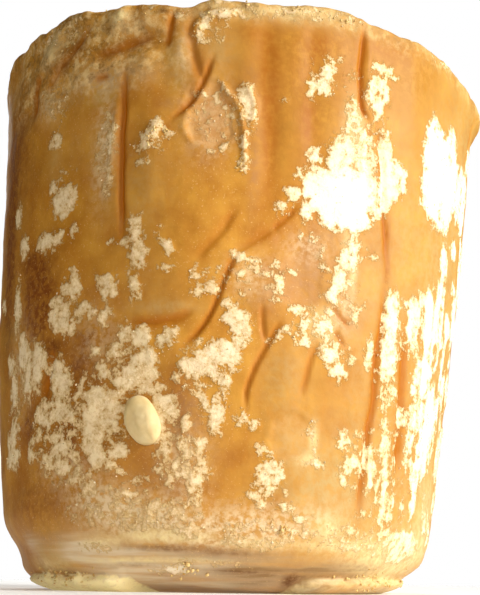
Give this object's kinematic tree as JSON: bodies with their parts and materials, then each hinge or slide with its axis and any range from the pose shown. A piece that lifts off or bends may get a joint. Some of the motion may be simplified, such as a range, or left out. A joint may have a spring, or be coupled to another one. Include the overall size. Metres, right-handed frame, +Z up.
{
  "type": "jaggery block",
  "caption": "Tub-moulded block of jaggery standing on its narrow end, creased by its cloth lining and dusted with pale sugar bloom.",
  "frame": {"origin": "bottom centre of the block's box, in the plane of its flat base", "axes": "+Z up from the narrow base to the wide poured top, -Y towards the creased front, +X to the right seen from the front"},
  "size_m": [0.103, 0.1016, 0.1076],
  "materials": {
    "set_jaggery": "waxy set cane sugar, smooth where the lining lay, with raised powdery sugar bloom",
    "dried_sugar": "smooth pale dried sugar crust"
  },
  "bodies": {
    "root": {"jaggery_block": "set_jaggery", "pale_flake": "dried_sugar"}
  },
  "joints": []
}
